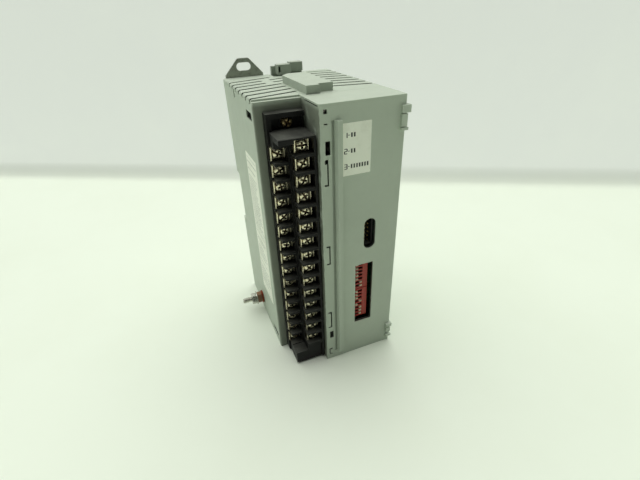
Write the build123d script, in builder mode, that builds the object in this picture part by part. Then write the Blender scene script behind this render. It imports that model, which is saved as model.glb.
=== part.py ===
"""Block-style plc input/output module: vented housing, screw terminal strip, switches and DIN latch.

The origin is the centre of the bottom face. The front looks along -Y and +Z is up.
All lengths are millimetres.
"""
from build123d import *
from math import cos, radians
import os

os.makedirs("parts", exist_ok=True)

# case
case_width = 68.8
case_depth = 98.0
case_height = 158.5
wall = 2.0
half_width = case_width / 2
front_y = -case_depth / 2
back_y = case_depth / 2
ledge_y = -26.6
tower_x = -10.4
ledge_drop = 0.8
skirt_lap = 5.0
cover_gap = 0.15

# top vents
vent_width = 2.2
vent_depth = 2.2
left_vent_count = 7
left_vent_pitch = 8.4
left_vent_tilt = 15
left_vent_end = -8.6
broken_vents = (4, 5)
right_vent_count = 8
right_vent_pitch = 7.9
right_vent_tilt = -11
first_vent_y = -18.2
right_vent_y = -13.6
bottom_vent_count = 6

# hump on the top face
hump_left = -7.4
hump_right = 7.8
hump_front = -26.0
hump_back = 16.5
hump_corner = 4.5
hump_height = 4.0

# screw terminal strip
terminal_count = 15
terminal_pitch = 8.63
strip_left = -30.2
strip_right = -11.2
strip_top = 153.0
strip_bottom = 1.5
strip_flange_y = -32.2
strip_front_y = -45.0
shelf_z = 144.8
tier_x = -21.7
outer_x = -26.2
outer_head_y = -34.0
outer_first_z = 134.6
inner_x = -17.2
inner_head_y = -44.0
inner_first_z = 140.2
head_radius = 3.1
head_height = 2.0
plate_size = 7.4
lip_thick = 0.45
plate_thick = 0.9
contact_thick = 0.7
pocket_height = 7.2
screw_shank_radius = 1.45
screw_shank_length = 5.0

# front window with the two switch banks
bank_window_x = 14.4
bank_window_z = 46.3
bank_window_width = 11.2
bank_window_height = 43.4
bank_x = 13.45
bank_width = 9.5
bank_length = 22.0
bank_depth = 7.0
bank_front_y = -46.4
bank_centres = {"upper": 59.75, "lower": 37.55}
way_pitch = 2.54
way_slot_length = 4.8
way_slot_width = 1.6
way_slot_x = 12.4
way_slot_depth = 3.2
slider_length = 1.5
slider_width = 1.1
slider_travel = 2.6
slider_proud = 0.5
left_ways = {"upper": (1, 2, 3, 4, 5, 6), "lower": (1, 2, 3, 5)}

# oblong service window
service_x = 17.1
service_z = 87.3
service_width = 7.0
service_height = 18.8

# DIN rail seat and latch on the back
rail_low_z = 61.5
rail_high_z = 96.5
rail_face_y = 41.4
latch_x = 5.4
latch_width = 20.0
latch_thick = 2.4
latch_y = 44.4
latch_travel = 4.0
latch_nose_z = 94.6
latch_top_z = 165.2
grip_foot_z = 158.9

# metal mounting tabs
tab_x = -20.9
tab_width = 23.4
tab_thick = 1.5
tab_top_z = 169.0

# ground stud
stud_y = 16.5
stud_z = 11.0
stud_radius = 2.0
stud_tip_x = -49.4
stud_thread_end_x = -43.3
stud_shank_radius = 1.65


def cut_box(x_low, x_high, y_low, y_high, z_low, z_high):
    """Remove an upright block given by its six faces."""
    with Locations(((x_low + x_high) / 2, (y_low + y_high) / 2, (z_low + z_high) / 2)):
        Box(x_high - x_low, y_high - y_low, z_high - z_low, mode=Mode.SUBTRACT)


def add_box(x_low, x_high, y_low, y_high, z_low, z_high):
    """Add an upright block given by its six faces."""
    with Locations(((x_low + x_high) / 2, (y_low + y_high) / 2, (z_low + z_high) / 2)):
        Box(x_high - x_low, y_high - y_low, z_high - z_low)


def cut_vent(middle_x, middle_y, tilt, x_low, x_high, depth):
    """Remove a slanted slot from the top, running between two X values and turned about its middle."""
    stretch = 1 / cos(radians(tilt))
    offset = ((x_low + x_high) / 2 - middle_x) * stretch
    with Locations(Location((middle_x, middle_y, case_height - depth / 2), (0, 0, tilt))):
        with Locations((offset, 0, 0)):
            Box((x_high - x_low) * stretch, vent_width, depth, mode=Mode.SUBTRACT)


def save(shape, label):
    """Name a finished solid and write it as one piece of the assembly."""
    shape.label = label
    export_step(shape, "parts/" + label + ".step")


# ---------------------------------------------------------------- rear housing
with BuildPart() as rear_housing:
    add_box(-half_width, half_width, ledge_y, back_y, 0, case_height)
    fillet(rear_housing.edges().filter_by(Axis.Y).group_by(Axis.Z)[-1].sort_by(Axis.X)[0], 1.2)
    fillet(rear_housing.edges().filter_by(Axis.Z).sort_by(Axis.X)[0:2], 0.8)
    # step down on the ledge side
    cut_box(-half_width, tower_x, ledge_y, ledge_y + 2.6, case_height - ledge_drop, case_height)
    # inside space in front of the cored back
    cut_box(-half_width + wall, half_width - wall, ledge_y + wall, 36.9, wall, case_height - wall - ledge_drop)
    # opening behind the raised front cover
    cut_box(tower_x + wall, half_width - wall, ledge_y, ledge_y + wall, wall, case_height - wall - ledge_drop)
    # hump with a stepped front
    add_box(hump_left, hump_right, hump_front + 3, hump_back, case_height, case_height + hump_height)
    add_box(hump_left, -0.4, hump_front, hump_front + 3, case_height, case_height + hump_height)
    chamfer(
        rear_housing.edges().filter_by(Axis.Z).filter_by_position(Axis.Y, hump_back - 0.1, hump_back + 0.1)
        .sort_by(Axis.X)[0], hump_corner,
    )
    cut_box(
        hump_left + 3.4, hump_right - 1.6, hump_front + 5, hump_back - 3.4,
        case_height - 4, case_height + hump_height - 1.6,
    )
    # DIN rail seat across the back
    cut_box(-half_width, half_width, rail_face_y, back_y, rail_low_z + 2.2, rail_high_z + 2.6)
    cut_box(-half_width, half_width, rail_face_y, rail_face_y + 1.6, rail_low_z - 0.3, rail_high_z + 2.6)
    # groove in which the latch slides, closed by the two side lips
    cut_box(
        latch_x - latch_width / 2 - 0.3, latch_x + latch_width / 2 + 0.3,
        latch_y - 0.3, latch_y + latch_thick + 0.3, rail_high_z + 2.4, case_height,
    )
    cut_box(
        latch_x - latch_width / 2 + 2, latch_x + latch_width / 2 - 2,
        latch_y, back_y, rail_high_z + 2.4, case_height,
    )
    cut_box(latch_x - 7.4, latch_x + 7.4, 42.4, latch_y, rail_high_z + 2.4, rail_high_z + 3.2 + latch_travel)
    # room for the finger grip behind the top edge
    cut_box(
        latch_x - latch_width / 2 - 0.6, latch_x + latch_width / 2 + 0.6,
        36.6, back_y, case_height - 1.6, case_height,
    )
    # seats for the metal tabs
    cut_box(
        tab_x - tab_width / 2 - 0.2, tab_x + tab_width / 2 + 0.2,
        back_y - tab_thick, back_y, 118, case_height,
    )
    cut_box(
        tab_x - tab_width / 2 - 0.2, tab_x + tab_width / 2 + 0.2,
        back_y - tab_thick, back_y, 2.4, 40,
    )
    # cored pockets moulded into the back
    for column_x, pocket_z in ((-24.6, 50), (-12.6, 50), (-24.6, 108), (-12.6, 108), (22.2, 108), (29.0, 108)):
        cut_box(column_x - 2.6, column_x + 2.6, 39.4, back_y, pocket_z - 6, pocket_z + 6)
    for pocket_z in (12, 24, 36, 48):
        cut_box(-5, 3.5, 39.4, back_y, pocket_z - 4.6, pocket_z + 4.6)
        cut_box(5.5, 14, 39.4, back_y, pocket_z - 4.6, pocket_z + 4.6)
        cut_box(18, 31.6, 39.4, back_y, pocket_z - 4.6, pocket_z + 4.6)
    for pocket_z in (122, 134, 146):
        cut_box(18, 31.6, 39.4, back_y, pocket_z - 4.6, pocket_z + 4.6)
    # slanted vent slots on both sides of the hump, open at the case edge
    left_middle = (-half_width + left_vent_end) / 2
    for index in range(left_vent_count):
        slot_y = first_vent_y + index * left_vent_pitch
        end = -15.9 if index in broken_vents else left_vent_end
        cut_vent(left_middle, slot_y, left_vent_tilt, -half_width - 2, end, vent_depth)
        cut_vent(left_middle, slot_y, left_vent_tilt, -half_width + 4, end - 1.5, 5)
        if index in broken_vents:
            cut_vent(left_middle, slot_y, left_vent_tilt, -11.2, -2.0, 5)
    right_middle = (half_width + 8.4) / 2
    for index in range(right_vent_count):
        slot_y = right_vent_y + index * right_vent_pitch
        start = 17.8 if index > 5 else 8.4
        cut_vent(right_middle, slot_y, right_vent_tilt, start, half_width + 2, vent_depth)
        if slot_y < 34:
            cut_vent(right_middle, slot_y, right_vent_tilt, start + 1.5, half_width - 4, 5)
    # straight vent slots through the bottom
    for index in range(bottom_vent_count):
        slot_y = -16 + index * 8
        cut_box(-28, -12, slot_y - vent_width / 2, slot_y + vent_width / 2, 0, wall)
        cut_box(12, 28, slot_y - vent_width / 2, slot_y + vent_width / 2, 0, wall)
    # slots through the left side
    cut_box(-half_width, -half_width + wall, -22.0, -10.5, 148, 152)
    cut_box(-half_width, -half_width + wall, -22.0, -11.0, 3, 7.5)
    cut_box(-half_width, -half_width + 0.8, 15.6, 18.0, 152.7, 157.2)
    # opening for the contacts of the terminal strip
    cut_box(-28.0, -14.0, ledge_y, ledge_y + wall, 14, 140)
    # hole for the ground stud
    with Locations(Plane.YZ.offset(-half_width)):
        with Locations((stud_y, stud_z)):
            Cylinder(stud_radius + 0.1, 2 * wall + 1, mode=Mode.SUBTRACT)
    # threaded holes for the tab screws and the captive screw
    with Locations(Plane.XZ.offset(-back_y)):
        with Locations((tab_x - 7, 126), (tab_x + 7, 126), (tab_x - 7, 32), (tab_x + 7, 32)):
            Cylinder(1.3, 20, mode=Mode.SUBTRACT)
    with Locations(Plane.XZ.offset(-ledge_y)):
        with Locations((-19.4, 147.8)):
            Cylinder(1.6, 10, mode=Mode.SUBTRACT)
save(rear_housing.part, "rear_housing")

# ---------------------------------------------------------------- front cover
rib_left = -2.4
rib_right = 0.2
with BuildPart() as front_cover:
    add_box(tower_x, half_width, front_y, ledge_y - cover_gap, 0, case_height)
    fillet(front_cover.edges().filter_by(Axis.Z).group_by(Axis.Y)[0], 0.6)
    cut_box(tower_x + wall, half_width - wall, front_y + wall, ledge_y, wall, case_height - wall)
    # skirt that enters the rear housing
    add_box(tower_x + wall + 0.3, half_width - wall - 0.3, ledge_y - 6, ledge_y + skirt_lap, 2.4, 3.8)
    add_box(
        tower_x + wall + 0.3, half_width - wall - 0.3, ledge_y - 6, ledge_y + skirt_lap,
        case_height - 4.6, case_height - 3.2,
    )
    add_box(tower_x + wall, half_width - wall, ledge_y - 6, ledge_y - 4.6, 1.6, 3.8)
    add_box(
        tower_x + wall, half_width - wall, ledge_y - 6, ledge_y - 4.6,
        case_height - 4.6, case_height - 1.6,
    )
    # long upright rib with a groove along its left side
    cut_box(rib_left - 2.2, rib_left - 0.5, front_y, front_y + 0.9, 5.5, 151)
    with BuildSketch(Plane.XY.offset(5.5)):
        with BuildLine():
            Polyline(
                (rib_left - 0.7, front_y + 0.4), (rib_left, front_y - 2.4),
                (rib_right - 0.2, front_y - 2.4), (rib_right, front_y + 0.4), close=True,
            )
        make_face()
    extrude(amount=145.5)
    # switch window and service window
    cut_box(
        bank_window_x - bank_window_width / 2, bank_window_x + bank_window_width / 2,
        front_y, front_y + wall,
        bank_window_z - bank_window_height / 2, bank_window_z + bank_window_height / 2,
    )
    with BuildSketch(Plane.XZ.offset(-front_y)):
        with Locations((service_x, service_z)):
            SlotOverall(service_height, service_width, rotation=90)
    extrude(amount=-wall, mode=Mode.SUBTRACT)
    # holes and snap cuts along the left edge of the front
    for x_low, x_high, z_low, z_high in (
        (-8.4, -6.6, 154.1, 156.1), (-7.8, -5.2, 135.2, 141.9), (-7.9, -5.4, 17.6, 23.1),
        (-8.2, -6.4, 149.3, 149.9), (-8.2, -6.4, 131.0, 133.2),
    ):
        cut_box(x_low, x_high, front_y, front_y + wall, z_low, z_high)
    for z_low, z_high in ((119.8, 131.0), (73.4, 85.5), (26.5, 39.0)):
        cut_box(-7.1, -6.3, front_y, front_y + wall, z_low, z_high)
        cut_box(-8.6, -6.3, front_y, front_y + wall, z_low, z_low + 0.9)
        if z_low != 119.8:
            cut_box(-8.6, -6.3, front_y, front_y + wall, z_high - 1.1, z_high)
    # lowest snap cut, open to the right
    cut_box(-8.6, -7.9, front_y, front_y + wall, 3.3, 8.6)
    cut_box(-8.6, -6.3, front_y, front_y + wall, 3.3, 4.1)
    cut_box(-8.6, -6.3, front_y, front_y + wall, 7.6, 8.6)
    # long slit and pin hole in the side wall over the terminal strip
    cut_box(tower_x, tower_x + 1.2, front_y + 1.3, front_y + 18, case_height - 1.5, case_height - 0.8)
    with Locations(Plane.YZ.offset(tower_x)):
        with Locations((front_y + 6, 150)):
            Cylinder(0.5, 2 * wall, mode=Mode.SUBTRACT)
    # hinge blocks and nubs for a door
    for z_low, z_high, reach in (
        (143.9, 149.8, 0.0), (150.2, 153.8, 1.6), (141.9, 143.3, 0.8),
        (12.8, 15.0, 0.9), (8.2, 11.8, 0.0), (4.2, 5.6, 0.8),
    ):
        add_box(half_width - 3, half_width + reach, front_y - 1.6, front_y + 2, z_low, z_high)
    # four bosses that carry the switch board
    for boss_x in (-4.5, 30.0):
        for boss_z in (20.0, 108.0):
            with Locations(Plane.XZ.offset(-(front_y + wall) + 0.2)):
                with Locations((boss_x, boss_z)):
                    Cylinder(2.2, 7.8, align=(Align.CENTER, Align.CENTER, Align.MAX))
                    Cylinder(1.0, 7.8, align=(Align.CENTER, Align.CENTER, Align.MAX), mode=Mode.SUBTRACT)
save(front_cover.part, "front_cover")

# ---------------------------------------------------------------- terminal strip
outer_floor_y = outer_head_y + head_height + plate_thick + contact_thick
inner_floor_y = inner_head_y + head_height + plate_thick + contact_thick
outer_levels = [outer_first_z - index * terminal_pitch for index in range(terminal_count)]
inner_levels = [inner_first_z - index * terminal_pitch for index in range(terminal_count)]
with BuildPart() as strip_body:
    add_box(strip_left, strip_right, strip_flange_y, ledge_y - 0.1, strip_bottom, strip_top)
    add_box(strip_left + 1, strip_right, strip_front_y - 1.5, strip_flange_y, strip_bottom, shelf_z)
    fillet(strip_body.edges().filter_by(Axis.X).group_by(Axis.Y)[0], 0.8)
    # lower tier on the left
    cut_box(strip_left + 1, tier_x, strip_front_y - 1.5, -37.4, 9.6, outer_first_z + 7.6)
    # pockets of both rows
    for level in outer_levels:
        cut_box(
            strip_left, tier_x - 0.6, strip_front_y - 1.5, outer_floor_y,
            level - pocket_height / 2, level + pocket_height / 2,
        )
    for level in inner_levels:
        cut_box(
            tier_x, strip_right - 1.2, strip_front_y - 1.5, inner_floor_y,
            level - pocket_height / 2, level + pocket_height / 2,
        )
    # front of the barriers on the right tier ends short of the end caps
    cut_box(strip_left + 1, strip_right - 1.2, strip_front_y - 1.5, strip_front_y - 0.2, strip_bottom, 14)
    # pocket of the captive screw
    cut_box(-27.7, strip_right, strip_flange_y, ledge_y - 2.2, shelf_z, 150.7)
    # bores
    with Locations(Plane.XZ.offset(-ledge_y)):
        with Locations(*[(outer_x, level) for level in outer_levels]):
            Cylinder(1.6, 16, mode=Mode.SUBTRACT)
        with Locations(*[(inner_x, level) for level in inner_levels]):
            Cylinder(1.6, 28, mode=Mode.SUBTRACT)
        with Locations((-19.4, 147.8)):
            Cylinder(1.7, 12, mode=Mode.SUBTRACT)
    # hook under the bottom end
    add_box(strip_left + 0.6, strip_left + 3.4, ledge_y - 5, ledge_y - 2, 0.2, strip_bottom + 1)
save(strip_body.part, "terminal_strip")


def terminal_screw(front):
    """Pan head combination screw whose head faces -Y, centred on the Y axis."""
    with BuildPart() as screw:
        with BuildSketch(Plane.XY):
            with BuildLine():
                Line((0, front), (1.2, front))
                ThreePointArc((1.2, front), (2.5, front + 0.45), (head_radius, front + head_height - 0.35))
                Line((head_radius, front + head_height - 0.35), (head_radius, front + head_height))
                Line((head_radius, front + head_height), (screw_shank_radius, front + head_height))
                Line(
                    (screw_shank_radius, front + head_height),
                    (screw_shank_radius, front + head_height + screw_shank_length),
                )
                Line(
                    (screw_shank_radius, front + head_height + screw_shank_length),
                    (0, front + head_height + screw_shank_length),
                )
                Line((0, front + head_height + screw_shank_length), (0, front))
            make_face()
        revolve(axis=Axis.Y)
        with Locations((0, front + 0.4, 0)):
            Box(2 * head_radius, 0.9, 0.8, mode=Mode.SUBTRACT)
            Box(0.8, 1.9, 3.6, mode=Mode.SUBTRACT)
            Box(3.6, 1.9, 0.8, mode=Mode.SUBTRACT)
    return screw.part


def clamp_plate(front):
    """Square wire clamp with an upturned left lip, centred on the screw axis."""
    half = plate_size / 2
    with BuildPart() as plate:
        add_box(-half, half, front, front + plate_thick, -half + 0.2, half - 0.2)
        add_box(-half, -half + lip_thick, front - 1.5, front + plate_thick, -half + 0.5, half - 0.5)
        add_box(half - lip_thick, half, front - 0.6, front + plate_thick, -half + 0.9, half - 0.9)
        with Locations((0, front, 0)):
            Cylinder(screw_shank_radius + 0.1, 4, rotation=(90, 0, 0), mode=Mode.SUBTRACT)
    return plate.part


def contact_bar(front, x_low, x_high):
    """Flat contact under one clamp, bored for its screw."""
    with BuildPart() as contact:
        add_box(x_low, x_high, front, front + contact_thick, -3.0, 3.0)
        with Locations((0, front, 0)):
            Cylinder(screw_shank_radius + 0.1, 4, rotation=(90, 0, 0), mode=Mode.SUBTRACT)
    return contact.part


rows = (
    ("outer", outer_x, outer_head_y, outer_levels, -3.4, 3.2),
    ("inner", inner_x, inner_head_y, inner_levels, -3.6, 4.0),
)
for row_name, row_x, head_y, levels, contact_low, contact_high in rows:
    spots = [(row_x, 0, level) for level in levels]
    screw_shape = terminal_screw(head_y)
    plate_shape = clamp_plate(head_y + head_height)
    contact_shape = contact_bar(head_y + head_height + plate_thick, contact_low, contact_high)
    with BuildPart() as screw_row:
        with Locations(*spots):
            add(screw_shape)
    save(screw_row.part, "terminal_screws_" + row_name)
    with BuildPart() as plate_row:
        with Locations(*spots):
            add(plate_shape)
    save(plate_row.part, "clamp_plates_" + row_name)
    with BuildPart() as contact_row:
        with Locations(*spots):
            add(contact_shape)
    save(contact_row.part, "contacts_" + row_name)

with BuildPart() as captive_screw:
    with Locations(Plane.XZ.offset(-(ledge_y - 2.2))):
        with Locations((-19.4, 147.8)):
            Cylinder(2.9, 2.2, align=(Align.CENTER, Align.CENTER, Align.MIN))
            Cylinder(1.45, 7, align=(Align.CENTER, Align.CENTER, Align.MAX))
            with Locations((0, 0, 2.2)):
                Box(6, 0.8, 2.0, mode=Mode.SUBTRACT)
    fillet(captive_screw.edges().filter_by(GeomType.CIRCLE).sort_by(Axis.Y)[0:1], 0.3)
save(captive_screw.part, "captive_screw")

# ---------------------------------------------------------------- switch banks
way_positions = [(index - 3.5) * way_pitch for index in range(8)]
for bank_name, bank_z in bank_centres.items():
    with BuildPart() as bank:
        add_box(
            bank_x - bank_width / 2, bank_x + bank_width / 2, bank_front_y, bank_front_y + bank_depth,
            bank_z - bank_length / 2, bank_z + bank_length / 2,
        )
        chamfer(bank.edges().group_by(Axis.Y)[0], 0.25)
        for offset in way_positions:
            cut_box(
                way_slot_x - way_slot_length / 2, way_slot_x + way_slot_length / 2,
                bank_front_y, bank_front_y + way_slot_depth,
                bank_z + offset - way_slot_width / 2, bank_z + offset + way_slot_width / 2,
            )
    save(bank.part, "switch_bank_" + bank_name)
    for number in range(1, 9):
        level = bank_z + way_positions[8 - number]
        side = -1 if number in left_ways[bank_name] else 1
        with BuildPart() as slider:
            middle = way_slot_x + side * slider_travel / 2
            add_box(
                middle - slider_length / 2, middle + slider_length / 2,
                bank_front_y - slider_proud, bank_front_y + way_slot_depth - 0.3,
                level - slider_width / 2, level + slider_width / 2,
            )
            chamfer(slider.edges().group_by(Axis.Y)[0], 0.2)
        save(slider.part, "slider_" + bank_name + "_" + str(number))

# ---------------------------------------------------------------- boards and what they carry
board_back_y = bank_front_y + bank_depth
with BuildPart() as switch_board:
    add_box(-7.5, 31.5, board_back_y, board_back_y + 1.6, 16, 112)
    with Locations(Plane.XZ.offset(-board_back_y)):
        with Locations((-4.5, 20), (-4.5, 108), (30, 20), (30, 108)):
            Cylinder(1.2, 6, mode=Mode.SUBTRACT)
save(switch_board.part, "switch_board")

with BuildPart() as board_screws:
    with Locations(Plane.XZ.offset(-(board_back_y + 1.6))):
        with Locations((-4.5, 20), (-4.5, 108), (30, 20), (30, 108)):
            Cylinder(2.2, 1.4, align=(Align.CENTER, Align.CENTER, Align.MAX))
            Cylinder(0.9, 6, align=(Align.CENTER, Align.CENTER, Align.MIN))
save(board_screws.part, "board_screws")

with BuildPart() as service_socket:
    add_box(service_x - 3.2, service_x + 3.2, -46.4, board_back_y, service_z - 9, service_z + 9)
    cut_box(service_x - 2.2, service_x + 2.2, -46.4, -41.4, service_z - 8, service_z + 8)
save(service_socket.part, "service_socket")

with BuildPart() as service_pins:
    for pin_x in (service_x - 1.0, service_x + 1.0):
        for index in range(6):
            pin_z = service_z + (index - 2.5) * way_pitch
            add_box(pin_x - 0.3, pin_x + 0.3, -44.6, -41.4, pin_z - 0.3, pin_z + 0.3)
save(service_pins.part, "service_pins")

with BuildPart() as main_board:
    add_box(26.0, 27.6, -20, 34, 5, 148)
save(main_board.part, "main_board")

with BuildPart() as board_rails:
    for rail_z in (4.0, 149.0):
        add_box(24.4, 29.2, -20, 34, rail_z - 2.0, rail_z + 2.0)
    cut_box(25.9, 27.7, -20, 34, 4.9, 148.1)
save(board_rails.part, "board_rails")

with BuildPart() as board_link:
    add_box(20.0, 26.0, -20, -14, 40, 90)
    add_box(20.0, 24.0, board_back_y + 1.6, -20, 44, 86)
save(board_link.part, "board_link")

with BuildPart() as transformer:
    add_box(2.0, 26.0, -2, 30, 14, 44)
    fillet(transformer.edges().filter_by(Axis.X), 1.5)
    add_box(5.0, 23.0, -6, 34, 20, 38)
save(transformer.part, "transformer")

with BuildPart() as capacitors:
    with Locations(Plane.YZ.offset(26.0)):
        with Locations((4, 58), (20, 58)):
            Cylinder(6.5, 22, align=(Align.CENTER, Align.CENTER, Align.MAX))
    fillet(capacitors.edges().filter_by(GeomType.CIRCLE).group_by(Axis.X)[0], 0.8)
save(capacitors.part, "capacitors")

with BuildPart() as relays:
    for index in range(5):
        add_box(10.0, 26.0, 8, 28, 74 + index * 14, 85 + index * 14)
save(relays.part, "relays")

with BuildPart() as terminal_board:
    add_box(-30.5, -11.5, ledge_y + 6, ledge_y + 7.6, 10, 146)
save(terminal_board.part, "terminal_board")

with BuildPart() as terminal_header:
    add_box(-27.5, -14.5, ledge_y + 0.2, ledge_y + 6, 15, 139)
save(terminal_header.part, "terminal_header")

# ---------------------------------------------------------------- back hardware
with BuildPart() as rail_latch:
    add_box(
        latch_x - latch_width / 2, latch_x + latch_width / 2, latch_y, latch_y + latch_thick,
        rail_high_z + 3.2, latch_top_z - 1.8,
    )
    add_box(latch_x - 7.0, latch_x + 7.0, latch_y - 1.6, latch_y + latch_thick, latch_nose_z, rail_high_z + 2.3)
    add_box(latch_x - 7.0, latch_x + 7.0, latch_y, latch_y + latch_thick, latch_nose_z, rail_high_z + 6.0)
    # finger grip above the top face: a deep block on the left, a shallow and taller one on the right
    add_box(latch_x - 7.6, latch_x + 0.8, 38.0, latch_y, grip_foot_z, latch_top_z - 0.6)
    add_box(latch_x + 1.4, latch_x + 9.6, 41.0, latch_y + latch_thick, grip_foot_z + 1.1, latch_top_z)
    # screwdriver slot through the left block
    cut_box(latch_x - 7.0, latch_x - 5.8, 38.0, latch_y, grip_foot_z + 1.4, latch_top_z - 1.6)
save(rail_latch.part, "rail_latch")

with BuildPart() as upper_tab:
    with BuildSketch(Plane.XZ.offset(-back_y)):
        with BuildLine():
            Polyline(
                (tab_x - tab_width / 2, 118.2), (tab_x + tab_width / 2, 118.2),
                (tab_x + tab_width / 2, case_height + 1.4), (tab_x + 3.4, tab_top_z),
                (tab_x - 3.4, tab_top_z), (tab_x - tab_width / 2, case_height + 1.4), close=True,
            )
        make_face()
        fillet(vertices().group_by(Axis.Y)[-1], 2.2)
        fillet(vertices().group_by(Axis.Y)[0], 1.5)
        with Locations((tab_x, 164.3)):
            SlotOverall(9.0, 4.6, mode=Mode.SUBTRACT)
        with Locations((tab_x - 7, 126), (tab_x + 7, 126)):
            Circle(1.7, mode=Mode.SUBTRACT)
    extrude(amount=tab_thick)
save(upper_tab.part, "upper_tab")

with BuildPart() as lower_tab:
    with BuildSketch(Plane.XZ.offset(-back_y)):
        with Locations((tab_x, 21.2)):
            RectangleRounded(tab_width, 37.0, 1.5)
        with Locations((tab_x, 10.0)):
            SlotOverall(9.0, 4.6, mode=Mode.SUBTRACT)
        with Locations((tab_x - 7, 32), (tab_x + 7, 32)):
            Circle(1.7, mode=Mode.SUBTRACT)
    extrude(amount=tab_thick)
save(lower_tab.part, "lower_tab")

with BuildPart() as tab_screws:
    with Locations(Plane.XZ.offset(-back_y)):
        with Locations((tab_x - 7, 126), (tab_x + 7, 126), (tab_x - 7, 32), (tab_x + 7, 32)):
            Cylinder(1.2, 7, align=(Align.CENTER, Align.CENTER, Align.MIN))
save(tab_screws.part, "tab_screws")

# ---------------------------------------------------------------- ground stud
side_plane = Plane.YZ.offset(-half_width)
with BuildPart() as ground_stud:
    with Locations(Plane.YZ.offset(stud_tip_x)):
        with Locations((stud_y, stud_z)):
            Cylinder(
                stud_radius, stud_thread_end_x - stud_tip_x,
                align=(Align.CENTER, Align.CENTER, Align.MIN),
            )
            Cylinder(
                stud_shank_radius, -half_width + wall - stud_tip_x + 0.1,
                align=(Align.CENTER, Align.CENTER, Align.MIN),
            )
    chamfer(ground_stud.edges().filter_by(GeomType.CIRCLE).sort_by(Axis.X)[0], 0.6)
    with BuildSketch(Plane.YZ.offset(-half_width + wall + 0.1)):
        with Locations((stud_y, stud_z)):
            RegularPolygon(3.6, 6)
    extrude(amount=2.6)
save(ground_stud.part, "ground_stud")

stack = (
    ("ground_spacer", 0.05, 1.2, 4.6, 24),
    ("ground_nut_inner", 1.3, 3.2, 4.1, 6),
    ("ground_washer", 4.6, 0.8, 4.9, 48),
    ("ground_nut_outer", 5.5, 3.2, 4.1, 6),
)
for stack_name, start, thickness, radius, sides in stack:
    with BuildPart() as ring:
        with BuildSketch(side_plane.offset(-start)):
            with Locations((stud_y, stud_z)):
                RegularPolygon(radius, sides)
                Circle(stud_radius + 0.05, mode=Mode.SUBTRACT)
        extrude(amount=-thickness)
    save(ring.part, stack_name)

# ---------------------------------------------------------------- labels
with BuildPart() as front_label:
    with BuildSketch(Plane.XZ.offset(-(front_y))):
        with Locations((8.2, 136.2)):
            RectangleRounded(15.4, 25.5, 0.4)
    extrude(amount=0.12)
save(front_label.part, "front_label")

with BuildPart() as side_label:
    with BuildSketch(side_plane):
        with Locations((-6.0, 78.0)):
            RectangleRounded(24.0, 96.0, 0.6)
    extrude(amount=-0.12)
save(side_label.part, "side_label")
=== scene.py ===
"""Looks for the plc module: finishes, small hardware, printed marks and a pale studio.

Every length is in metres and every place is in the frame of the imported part.
"""
import math

import bmesh
import bpy
import numpy as np
from mathutils import Matrix, Vector


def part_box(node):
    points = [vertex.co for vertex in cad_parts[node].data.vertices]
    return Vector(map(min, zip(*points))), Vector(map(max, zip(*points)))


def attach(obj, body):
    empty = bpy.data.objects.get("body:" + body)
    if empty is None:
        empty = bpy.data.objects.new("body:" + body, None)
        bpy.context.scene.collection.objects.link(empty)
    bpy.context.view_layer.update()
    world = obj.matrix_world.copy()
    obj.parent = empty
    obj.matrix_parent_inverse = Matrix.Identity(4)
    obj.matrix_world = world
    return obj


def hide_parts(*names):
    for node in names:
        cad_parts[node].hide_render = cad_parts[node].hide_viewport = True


bl_info = {
    "name": "PLC Module Looks",
    "version": (1, 0, 0),
    "blender": (4, 5, 0),
    "location": "3D View > Sidebar > PLC Module",
    "description": "Finishes and small hardware of a programmable controller module",
    "category": "Object",
}

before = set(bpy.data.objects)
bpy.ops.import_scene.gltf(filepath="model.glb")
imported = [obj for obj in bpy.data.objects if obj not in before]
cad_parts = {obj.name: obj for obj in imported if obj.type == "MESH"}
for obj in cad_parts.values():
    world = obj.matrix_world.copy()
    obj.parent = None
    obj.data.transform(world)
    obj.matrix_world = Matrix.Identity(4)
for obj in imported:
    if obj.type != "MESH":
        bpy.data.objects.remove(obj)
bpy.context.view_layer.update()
BODY = "module"
RNG_SEED = 17

# places on the part that the finishes need
COVER_LEFT_X = -0.0104
COVER_FRONT_Y = -0.0490
HUMP_START_Y = 0.0360
LIP_BACK_Y = -0.0238
GROOVE_FLOOR_Y = -0.0480
GROOVE_LEFT_X, GROOVE_RIGHT_X = -0.0048, -0.00275

# colours under the finishes
# painted shade colour for the corner in front of the ledge and beside the cover
LEDGE_SHADE_COLOUR = (0.10, 0.11, 0.08, 1.0)
UNLIT_PLASTIC = (0.012, 0.014, 0.012, 1.0)
UNLIT_BANK = (0.010, 0.006, 0.004, 1.0)
# darker colour for screw slots and crosses
RECESS_DARK = (0.040, 0.022, 0.010, 1.0)
# painted shade colour for the deep part of the clamp plates
PLATE_SHADE = (0.030, 0.024, 0.015, 1.0)

# camera and light
CAMERA_PLACE = (-0.072562, -0.207176, 0.194829)
CAMERA_YAW, CAMERA_PITCH, CAMERA_ROLL = 20.893, 31.575, -2.268
KEY_DIRECTION = (0.03, -0.34, -1.0)
WALL_JOINT_LEFT, WALL_JOINT_RIGHT = (-0.3079, 0.4313), (0.4179, 0.0332)


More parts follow.
